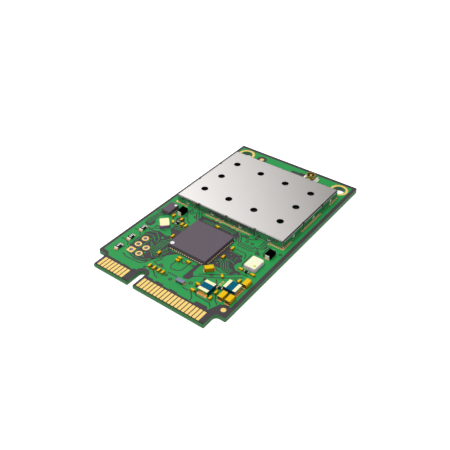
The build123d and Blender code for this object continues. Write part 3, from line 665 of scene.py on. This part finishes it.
# The lands of the shield: mask laps over their edges and leaves a narrow strip of gold at the foot
# of the wall, with a row of small open vias in it.
via_pitch = 0.5 * MM
shield_land = plated("shield land", gold_color, gold_deep)
row = (shield_land.along("X") + shield_land.along("Y")) * (math.tau / via_pitch)
shield_land.feed("Base Color", shield_land.blend(
    (row.sine() > 0.4) * 0.8, tint(255, 226, 150), tint(206, 128, 62),
))
dress("shield_pads", shield_land)

# The rings of the two bolt holes: gold as bright as the contacts, with mask that runs over their
# inner edge and down the unplated wall.
bolt_ring = plated("bolt hole ring", tint(255, 214, 112), gold_color)
ring_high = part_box("bolt_hole_rings")[1]
ring_radius, mask_reach = 1.95 * MM, 1.42 * MM
ring_shine = 0.12
from_x = bolt_ring.along("X").size() - (ring_high.x - ring_radius)
from_y = bolt_ring.along("Y") - (ring_high.y - ring_radius)
masked_rim = (from_x * from_x + from_y * from_y) < mask_reach * mask_reach
# Down the hole's wall the mask is painted a darker green than on the rim: painted shade.
mask_and_hole_shade = bolt_ring.blend(bolt_ring.lining, mask_deep, tint(16, 84, 48))
bolt_ring.feed("Base Color", bolt_ring.blend(masked_rim, bolt_ring.gold, mask_and_hole_shade))
bolt_ring.feed("Metallic", (1 - masked_rim) * ring_shine)
dress("bolt_hole_rings", bolt_ring)

# Two open vias between the coils: plated rims round holes that resin has filled to the top, so that
# no solder runs away through them.
via_x, via_ys = 9.4, (9.5, 10.2)
via_radius, core_radius = 0.2, 0.14
rim_width, rim_height = 0.13 * MM, 0.03 * MM
core_rise = copper_rise + 0.008 * MM
via_rims = grown(
    "via_rims",
    route_mesh(
        "via_rims", [ring_outline(via_x, y, via_radius, 16) for y in via_ys], copper_rise,
        closed=True,
    ),
    swept_track, Width=rim_width, Height=rim_height, Material=gold.material,
)
keep(via_rims)
resin_color, resin_deep = tint(96, 62, 34), tint(70, 46, 28)
resin = Finish("via resin", resin_color, 0.5)
resin.feed("Base Color", resin.blend(resin.noise(9000), resin_color, resin_deep))
via_cores = plates(
    "via_cores", [ring_outline(via_x, y, core_radius, 14) for y in via_ys], 0, core_rise
)
keep(via_cores, resin)

# The radio shield: a cover folded from bright tinned sheet, snapped over a fence soldered to the
# card. The sheet is polished like a mirror by the rolls, with a faint grain along the card.
sheet_color, sheet_dull = tint(243, 239, 236), tint(234, 230, 227)
# The flat walls and the bends are painted darker than the lid: painted shade.
shaded_wall_color, foot_color, bend_shade_color = tint(184, 182, 184), tint(214, 212, 204), tint(112, 114, 110)
foot_height, bend_depth = 0.12 * MM, 0.5 * MM
cover_low, cover_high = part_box("shield_cover")
sheet = Finish("tinned sheet", sheet_color, 0.12, Metallic=1.0)
grain = sheet.noise(2600, 3.0, sheet.stretched(1, 0.06, 1))
on_lid = sheet.facing("Z") > 0.997
flat_wall = sheet.facing("X").size().at_least(sheet.facing("Y").size()) > 0.98
foot = sheet.along("Z") < cover_low.z + foot_height
dimple = (sheet.along("Z") < cover_high.z - bend_depth) * (1 - flat_wall)
# The sheet's colour is painted by face: the flat walls darker than the lid, and the bends and other
# sloping faces near the top darker still, as painted shade. A pale, dull band lies at the foot of the
# walls and on the sloping faces lower down.
bent = sheet.blend(dimple, bend_shade_color, foot_color)
wall = sheet.blend(flat_wall, bent, sheet.blend(foot, shaded_wall_color, foot_color))
flat_lid = sheet.blend(grain * 0.5, sheet_color, sheet_dull)
sheet.feed("Base Color", sheet.blend(on_lid, wall, flat_lid))
sheet.feed("Metallic", 1 - foot.at_least(dimple) * 0.9)
sheet.feed("Roughness", grain * 0.06 + 0.09)
sheet.relief(grain * 0.5 + sheet.noise(120) * 0.5, 0.0015 * MM)
for name in ("shield_cover", "shield_frame"):
    dress(name, sheet)

# Moulded chips: the processor, the small interface chip and those under the shield, in violet-grey
# resin with a fine grain. A dot of white ink fills the recess that marks the first terminal.
moulded_color, moulded_dark = tint(103, 92, 104), tint(98, 88, 99)
moulded_side_lit = tint(112, 98, 113)
chip_low, chip_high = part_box("processor_chip")
chip_top = chip_high.z
top_skin = 0.05 * MM
moulded = Finish("grey moulding", moulded_color, 0.6, Specular_IOR_Level=0.2)
specks = moulded.noise(9000, 3.0)
# Faces below the processor's top skin are painted a little lighter than its top: painted light on the
# sides.
moulded.feed("Base Color", moulded.blend(
    moulded.along("Z") > chip_top - top_skin, moulded_side_lit,
    moulded.blend(specks, moulded_color, moulded_dark),
))
moulded.relief(specks, 0.004 * MM)
for name in (
    "processor_chip", "interface_chip", "baseband_chip", "radio_chip_1", "radio_chip_2",
    "power_amplifier", "reference_oscillator", "antenna_filter",
):
    dress(name, moulded)


def speckled(name, light, dark, roughness, gloss, scale=7000, depth=0.004, detail=3.0):
    """A fired, cast or printed finish: two shades in fine specks, over a relief as fine."""
    finish = Finish(name, light, roughness, Specular_IOR_Level=gloss)
    finish.feed("Base Color", finish.blend(finish.noise(scale), light, dark))
    if depth:
        finish.relief(finish.noise(scale, detail), depth * MM)
    return finish


slim_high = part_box("interface_chip")[1]
mark_radius, slim_mark_radius = 0.42, 0.28
mark_depth, mark_skin = 0.03 * MM, 0.002 * MM
mark_in, slim_mark_in = 1.5 * mark_radius, 1.5 * slim_mark_radius
mark_places = (
    (chip_low.x / MM + mark_in, (chip_low.y - contact_edge) / MM + mark_in, mark_radius),
    (slim_high.x / MM - slim_mark_in, (slim_high.y - contact_edge) / MM - slim_mark_in,
     slim_mark_radius),
)
ink = speckled(
    "white ink", tint(255, 255, 255), tint(240, 240, 240), 0.6, 0.2, depth=0.003, detail=2.0
)
first_marks = plates(
    "first_terminal_marks", [ring_outline(x, y, radius, 32) for x, y, radius in mark_places],
    chip_top - card_top - mark_depth, chip_top - card_top - mark_skin,
)
keep(first_marks, ink)

# Plated terminals of the leadless chips: a skin of solder over gold at the foot, where the joint
# wets them, and above it a dark brown painted as shade, which keeps the bright part small.
solder_color, terminal_shade_color = tint(255, 236, 184), tint(72, 58, 52)
solder_height = 0.13 * MM


def dipped(finish, least):
    """The skin of a metal that has been molten: wavy, and smoother in some places than in others."""
    finish.feed("Roughness", finish.noise(5000) * 0.2 + least)
    finish.relief(finish.noise(4000, 4.0), 0.006 * MM)


terminal = Finish("soldered gold", solder_color, 0.25)
soldered = terminal.along("Z") < card_top + solder_height
terminal.feed("Base Color", terminal.blend(soldered, terminal_shade_color, solder_color))
terminal.feed("Metallic", soldered * 0.4)
dipped(terminal, 0.15)
for name in ("processor_terminals", "interface_chip_terminals"):
    dress(name, terminal)


# Chip capacitors and resistors: fired ceramic bricks, yellow or black, with plated caps on their
# ends. Tumbling before plating has eased their edges.
def eased(node, width, finish):
    """A copy of a CAD node with eased edges, which stands for it."""
    shape = merged(node)
    bmesh.ops.dissolve_limit(shape, angle_limit=0.01, verts=shape.verts, edges=shape.edges)
    item = scene_object(f"{node}_eased", made_mesh(node, shape))
    bevel = item.modifiers.new("eased edges", "BEVEL")
    bevel.width = width
    bevel.segments = 2
    bevel.limit_method = "ANGLE"
    bevel.angle_limit = math.radians(40)
    settled(item)
    keep(item, finish)
    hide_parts(node)


def sides_and_top(finish, side, top):
    """One colour for the faces that look up, and a painted one for the sides, which stands in for how
    the light falls on them.
    """
    finish.feed("Base Color", finish.blend(finish.facing("Z") > 0.5, side, top))


# The yellow bricks' sides are painted darker than their tops: painted shade.
yellow, yellow_deep, yellow_side_shade = tint(248, 204, 0), tint(238, 190, 0), tint(212, 162, 4)
fired_yellow = Finish("yellow ceramic", yellow, 0.55, Specular_IOR_Level=0.1)
yellow_top = fired_yellow.blend(fired_yellow.noise(5000), yellow, yellow_deep)
sides_and_top(fired_yellow, yellow_side_shade, yellow_top)
fired_yellow.relief(fired_yellow.noise(6000, 3.0), 0.004 * MM)
# The caps' sides are painted dark brown against their yellow tops: painted shade.
cap_color, cap_deep, cap_side_shade = tint(228, 178, 20), tint(214, 158, 12), tint(120, 82, 14)
cap = Finish("plated caps", cap_color, 0.3, Metallic=0.2)
sides_and_top(cap, cap_side_shade, cap.blend(cap.noise(5000), cap_color, cap_deep))
dipped(cap, 0.2)
black = speckled("black ceramic", tint(24, 22, 24), tint(14, 13, 14), 0.5, 0.2)
bright_cap = Finish("bright caps", tint(225, 226, 222), 0.3, Metallic=0.85)
dipped(bright_cap, 0.2)

small_ease, cap_ease, large_ease = 0.03 * MM, 0.04 * MM, 0.05 * MM
small_groups = ("processor", "clock", "supply", "shielded")
bulk_capacitors = [f"bulk_capacitor_{number}" for number in range(1, 5)]
for group in small_groups:
    eased(f"{group}_capacitors", small_ease, fired_yellow)
    eased(f"{group}_capacitors_ends", small_ease, cap)
for node in bulk_capacitors:
    eased(node, large_ease, fired_yellow)
eased("bulk_capacitor_ends", cap_ease, cap)
eased("resistors", small_ease, black)
eased("resistors_ends", small_ease, bright_cap)

# Power coils: blue ferrite blocks with a folded strip of fired silver round each end. The strips
# are dull and pale on top, and bright down their folds.
# The ferrite's sides are painted a darker blue than its top: painted shade.
blue_color, blue_deep, blue_side_shade = tint(0, 102, 134), tint(0, 92, 122), tint(0, 62, 90)
strip_top_color, strip_side_color = tint(255, 252, 200), tint(214, 200, 150)
coil_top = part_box("power_coil_front")[1].z
strip_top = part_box("power_coil_front_ends")[1].z
strip_skin = 0.02 * MM
blue = Finish("blue ferrite", blue_color, 0.5, Specular_IOR_Level=0.05)
blue.feed("Base Color", blue.blend(
    blue.along("Z") > coil_top - top_skin, blue_side_shade,
    blue.blend(blue.noise(3000), blue_color, blue_deep),
))
blue.relief(blue.noise(5000, 3.0), 0.005 * MM)
strip = Finish("fired silver", strip_top_color, 0.25)
on_strip_top = strip.along("Z") > strip_top - strip_skin
strip.feed("Base Color", strip.blend(on_strip_top, strip_side_color, strip_top_color))
strip.feed("Metallic", 1 - on_strip_top * 0.9)
strip.relief(strip.noise(5000, 3.0), 0.004 * MM)
for side in ("front", "side"):
    eased(f"power_coil_{side}", large_ease, blue)
    dress(f"power_coil_{side}_ends", strip)

# The fuse: a slate ceramic block, with gilded ends that the solder has climbed only part of the way
# up. Above it they are as dull as the block.
# The slate block's sides are painted darker than its top: painted shade.
slate_color, slate_deep, slate_side_shade = tint(136, 144, 167), tint(120, 126, 148), tint(70, 74, 92)
slate = Finish("slate ceramic", slate_color, 0.55, Specular_IOR_Level=0.2)
sides_and_top(slate, slate_side_shade, slate.blend(slate.noise(6000), slate_color, slate_deep))
slate.relief(slate.noise(7000, 3.0), 0.004 * MM)
gilt_color, dull_color = tint(240, 190, 110), tint(132, 138, 158)
dull_depth = 0.3 * MM
gilt = Finish("gilded ends", gilt_color, 0.25)
dull_part = gilt.along("Z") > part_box("supply_fuse_ends")[1].z - dull_depth
gilt.feed("Base Color", gilt.blend(dull_part, gilt_color, dull_color))
gilt.feed("Metallic", 0.5 - dull_part * 0.5)
gilt.relief(gilt.noise(5000, 3.0), 0.004 * MM)
eased("supply_fuse", cap_ease, slate)
dress("supply_fuse_ends", gilt)


# Solder: printed on the lands as paste and melted in an oven, where it climbs each cap in a hollow
# fillet. No two fillets come out quite alike.
def fillet_mesh():
    """A fillet one unit out, wide and high: a hollow slope that thins towards its two sides."""
    steps = 4
    shape = bmesh.new()
    rows = []
    for side, spread in ((-0.5, 0.55), (-0.32, 1.0), (0.32, 1.0), (0.5, 0.55)):
        slope = []
        for i in range(steps + 1):
            turn = math.pi / 2 * i / steps
            out, up = spread * (1 - math.sin(turn)), spread * (1 - math.cos(turn))
            slope.append(shape.verts.new((out, side, up)))
        slope.append(shape.verts.new((0, side, 0)))
        rows.append(slope)
    for near, far in zip(rows, rows[1:]):
        for i in range(len(near)):
            j = (i + 1) % len(near)
            shape.faces.new((near[i], near[j], far[j], far[i]))
    shape.faces.new(rows[0])
    shape.faces.new(rows[-1])
    return made_mesh("fillet", shape)


def fillet_tree():
    """Sets the given fillet on each point, turned and sized by the point's own attributes."""
    web = Grower(
        "solder fillets", Geometry="Geometry", Fillet="Object", Unevenness="Float",
        Material="Material",
    )
    fillet = web.node(
        "GeometryNodeObjectInfo", {}, {"Object": web.given["Fillet"]}, "Geometry"
    )
    turn, reach = (
        web.node("GeometryNodeInputNamedAttribute", {"data_type": "FLOAT_VECTOR"}, {"Name": name})
        for name in ("turn", "reach")
    )
    share = web.node(
        "FunctionNodeRandomValue", {"data_type": "FLOAT"},
        {2: 1 - web.given["Unevenness"], 3: 1.0, "Seed": 7}, 1,
    )
    sized = web.node("ShaderNodeVectorMath", {"operation": "SCALE"}, {0: reach, "Scale": share})
    return web.ended(web.node("GeometryNodeInstanceOnPoints", {}, {
        "Points": web.given["Geometry"], "Instance": fillet, "Rotation": turn, "Scale": sized,
    }))


def cap_seats(body_nodes, end_node):
    """For each cap: the foot of its outer face, the way it faces, its width and its height."""
    bodies = [island for node in body_nodes for island in islands(node)]
    middles = [sum(island, Vector()) / len(island) for island in bodies]
    seats = []
    for island in islands(end_node):
        middle = sum(island, Vector()) / len(island)
        body = min(middles, key=lambda point: (point - middle).length)
        out = Vector((middle.x - body.x, middle.y - body.y, 0)).normalized()
        across = Vector((-out.y, out.x, 0))
        reach = max(out.dot(corner - middle) for corner in island)
        width = 2 * max(across.dot(corner - middle) for corner in island)
        height = max(corner.z for corner in island) - card_top
        foot = Vector((middle.x, middle.y, card_top)) + out * (reach - fillet_sink)
        seats.append((foot, math.atan2(out.y, out.x), width, height))
    return seats


solder = Finish("solder", tint(196, 150, 84), 0.22, Metallic=0.6)
solder.feed("Roughness", solder.noise(5000) * 0.2 + 0.14)
solder.relief(solder.noise(4000, 3.0), 0.006 * MM)
fillet_run, fillet_sink = 0.1 * MM, 0.005 * MM
fillet_width = 0.96
joint_groups = [
    (bulk_capacitors, "bulk_capacitor_ends", 0.25),
    (["resistors"], "resistors_ends", 0.45),
]
joint_groups += [
    ([f"{group}_capacitors"], f"{group}_capacitors_ends", 0.4) for group in small_groups
]
seat_points, seat_turns, seat_reaches = [], [], []
for bodies, ends, climb in joint_groups:
    for foot, turn, width, height in cap_seats(bodies, ends):
        seat_points.append(foot)
        seat_turns += (0, 0, turn)
        seat_reaches += (fillet_run, fillet_width * width, climb * height)
seat_mesh = bpy.data.meshes.new("solder seats")
seat_mesh.from_pydata(seat_points, [], [])
seat_mesh.attributes.new("turn", "FLOAT_VECTOR", "POINT").data.foreach_set("vector", seat_turns)
seat_mesh.attributes.new("reach", "FLOAT_VECTOR", "POINT").data.foreach_set("vector", seat_reaches)
one_fillet = scene_object("one fillet", fillet_mesh())
solder_joints = grown(
    "solder_joints", seat_mesh, fillet_tree(),
    Fillet=one_fillet, Unevenness=0.2, Material=solder.material,
)
bpy.data.objects.remove(one_fillet)
keep(solder_joints)

# The crystal and the clock oscillator: ceramic cups, one purple and one lilac, each closed by a
# pale metal lid welded round its rim. A yellow dot marks the oscillator's first terminal.
purple = speckled("purple ceramic", tint(190, 112, 196), tint(160, 90, 170), 0.5, 0.3)
lilac = speckled("lilac ceramic", tint(255, 232, 252), tint(236, 206, 232), 0.5, 0.3)
crystal_lid = speckled(
    "crystal lid", tint(255, 253, 200), tint(252, 248, 186), 0.4, 0.4, 2500, 0.003
)
oscillator_lid = speckled(
    "oscillator lid", tint(254, 254, 224), tint(250, 250, 210), 0.4, 0.4, 2500, 0.003
)
dress("crystal_base", purple)
dress("crystal_lid", crystal_lid)
dress("oscillator_base", lilac)
dress("oscillator_lid", oscillator_lid)
yellow_ink = speckled("yellow ink", tint(220, 220, 0), tint(200, 204, 10), 0.6, 0.2, depth=0)
lid_low, lid_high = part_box("oscillator_lid")
lid_rise = lid_high.z - card_top
dot_radius, dot_from_side, dot_from_front = 0.25, 0.5, 0.75
dot_x = lid_high.x / MM - dot_from_side
dot_y = (lid_low.y - contact_edge) / MM + dot_from_front
dot_sink, dot_rise = 0.001 * MM, 0.006 * MM
first_dot = plates(
    "oscillator_first_mark", [ring_outline(dot_x, dot_y, dot_radius, 20)],
    lid_rise - dot_sink, lid_rise + dot_rise,
)
keep(first_dot, yellow_ink)

# Voltage clamps: diodes moulded in jet black, each with a tinned strip that is folded down and
# under at both ends.
jet = speckled("jet moulding", tint(3, 2, 3), tint(1, 0, 1), 0.7, 0.01)
bright = Finish("tinned strip", tint(255, 246, 228), 0.35, Specular_IOR_Level=0.2)
dipped(bright, 0.15)
for side in ("left", "right"):
    eased(f"voltage_clamp_{side}", large_ease, jet)
    dress(f"voltage_clamp_terminals_{side}", bright)

# Indicator lamps: a smoky lens cast over a dark carrier. Bright strips of the lead pattern lie on
# top: a hook at one end and two bars, with the die on a violet patch beside them.
carrier = speckled(
    "lamp carrier", tint(72, 68, 72), tint(50, 47, 50), 0.5, 0.3, depth=0.003
)
# The lens's sides are painted green: the board seen through the clear lens, painted on.
lens_color, lens_deep, lens_side_board_seen = tint(38, 38, 40), tint(20, 20, 22), tint(58, 92, 64)
lens = Finish("lamp lens", lens_color, 0.35, Specular_IOR_Level=0.05)
sides_and_top(lens, lens_side_board_seen, lens.blend(lens.noise(5000), lens_color, lens_deep))
lens.relief(lens.noise(3000, 3.0), 0.003 * MM)
dress("indicator_bases", carrier)
dress("indicator_lenses", lens)
dress("indicator_terminals", bright)
strips, dies = [], []
for island in islands("indicator_lenses"):
    x0, x1 = (pick(corner.x for corner in island) / MM for pick in (min, max))
    y0, y1 = (pick(corner.y - contact_edge for corner in island) / MM for pick in (min, max))
    wide, long = x1 - x0, y1 - y0
    strips += [
        [(x0 + 0.30 * wide, y0 + 0.08 * long), (x1 - 0.05 * wide, y0 + 0.08 * long),
         (x1 - 0.05 * wide, y0 + 0.40 * long), (x1 - 0.24 * wide, y0 + 0.40 * long),
         (x1 - 0.24 * wide, y0 + 0.21 * long), (x0 + 0.30 * wide, y0 + 0.21 * long)],
        box_outline(x0 + 0.42 * wide, x0 + 0.58 * wide, y0 + 0.34 * long, y0 + 0.78 * long),
        box_outline(x0 + 0.66 * wide, x1 - 0.03 * wide, y0 + 0.56 * long, y0 + 0.72 * long),
        box_outline(x0 + 0.52 * wide, x0 + 0.74 * wide, y1 - 0.14 * long, y1 - 0.04 * long),
    ]
    dies.append(box_outline(x0 + 0.06 * wide, x0 + 0.34 * wide, y0 + 0.3 * long, y0 + 0.85 * long))
lens_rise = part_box("indicator_lenses")[1].z - card_top
strip_sink, strip_rise, die_rise = 0.02 * MM, 0.01 * MM, 0.006 * MM
lamp_strips = plates("lamp_strips", strips, lens_rise - strip_sink, lens_rise + strip_rise)
keep(lamp_strips, ink)
die = speckled("lamp die", tint(124, 114, 138), tint(96, 88, 110), 0.3, 0.5, 8000, 0)
lamp_dies = plates("lamp_dies", dies, lens_rise - strip_sink, lens_rise + die_rise)
keep(lamp_dies, die)

# The antenna connector: a gilded ring and pin in a brown moulded base. The ring's side tabs are
# tinned, and solder holds them to the card.
brown = speckled("connector moulding", tint(88, 60, 36), tint(66, 44, 28), 0.5, 0.3)
shell_color, shell_low_color, tab_color = tint(206, 176, 104), tint(96, 78, 42), tint(255, 252, 240)
tab_height, ring_reach = 0.6 * MM, 1.05 * MM
shell_low, shell_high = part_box("antenna_connector_shell")
shell = Finish("connector shell", shell_color, 0.22)
low_part = shell.along("Z") < card_top + tab_height
on_tab = (shell.along("X") - (shell_low.x + shell_high.x) / 2).size() > ring_reach
shell.feed("Base Color", shell.blend(
    low_part, shell_color, shell.blend(on_tab, shell_low_color, tab_color)
))
shell.feed("Metallic", 0.7 - low_part * 0.7)
shell.relief(shell.noise(4000, 3.0), 0.004 * MM)
dress("antenna_connector_shell", shell)
dress("antenna_connector_base", brown)
dress("antenna_connector_pin", gold)

# The floor, the light and the camera: a plain white sweep and a wide soft light overhead, in a room
# that is bright on one side, seen from the front right of the card, above it.
floor_white = Finish(
    "floor", tint(250, 250, 250), 0.9, Specular_IOR_Level=0.0,
    Emission_Color=(1, 1, 1, 1), Emission_Strength=0.7,
)
half_floor = 1.2
floor_mesh = bpy.data.meshes.new("floor")
floor_mesh.from_pydata(
    [(x, y, 0) for x, y in box_outline(-half_floor, half_floor, -half_floor, half_floor)],
    [], [(0, 1, 2, 3)],
)
floor = scene_object("floor", floor_mesh)
floor.data.materials.append(floor_white.material)

world = bpy.data.worlds.new("studio")
world.use_nodes = True
bpy.context.scene.world = world
bpy.context.scene.view_settings.view_transform = "Standard"
room = Web(world.node_tree)
heading = room.node("ShaderNodeTexCoord", {}, {}, "Generated")
east, north, height = (
    room.node("ShaderNodeSeparateXYZ", {}, {"Vector": heading}, axis) for axis in ("X", "Y", "Z")
)
west = east * -1
turned = west.maths("ARCTAN2", west, north) * math.degrees(1)
raised = height.maths("ARCSINE", height) * math.degrees(1)

# The wall brightens round the room and upwards, from dim to bright, and falls off again past its far
# side and towards the ceiling.
dim, bright_side = 0.3, 1.12
rise_turn, rise_tilt, rise_level = 26, 35, 0.45
rise = (turned - rise_turn) * 0.04 + (raised - rise_tilt) * 0.018 + rise_level
far_turn, roof_tilt = 95, 62
fall = (far_turn - turned) * 0.04 + bright_side
roof = (roof_tilt - raised) * 0.05 + bright_side
sky = world.node_tree.nodes["Background"].inputs
room.put(sky["Color"], (1, 1, 1, 1))
room.put(sky["Strength"], rise.at_most(fall).at_most(roof).at_least(dim).at_most(bright_side))

overhead = bpy.data.lights.new("overhead light", "AREA")
overhead.size = 0.5
overhead.energy = 2.0
overhead_place = Vector((-0.12, -0.12, 0.5))
overhead_turn = (-overhead_place).to_track_quat("-Z", "Y").to_matrix().to_4x4()
scene_object("overhead light", overhead).matrix_world = (
    Matrix.Translation(overhead_place) @ overhead_turn
)

view_turn, view_tilt = math.radians(36.739), math.radians(38.101)
view_distance, view_right, view_up = 0.125884, 0.0012359, 0.0003863
view_centre = Vector((0, 0, 0.0005))
right = Vector((math.cos(view_turn), math.sin(view_turn), 0))
back = Vector((
    math.sin(view_turn) * math.cos(view_tilt), -math.cos(view_turn) * math.cos(view_tilt),
    math.sin(view_tilt),
))
up = back.cross(right)
camera = bpy.data.cameras.new("camera")
camera.lens = 50
camera.sensor_width = 36
camera.clip_start = 0.005
eye = scene_object("camera", camera)
stand = view_centre + back * view_distance - right * view_right - up * view_up
eye.matrix_world = (
    Matrix.Translation(stand) @ Matrix((right, up, back)).transposed().to_4x4()
)
bpy.context.scene.camera = eye
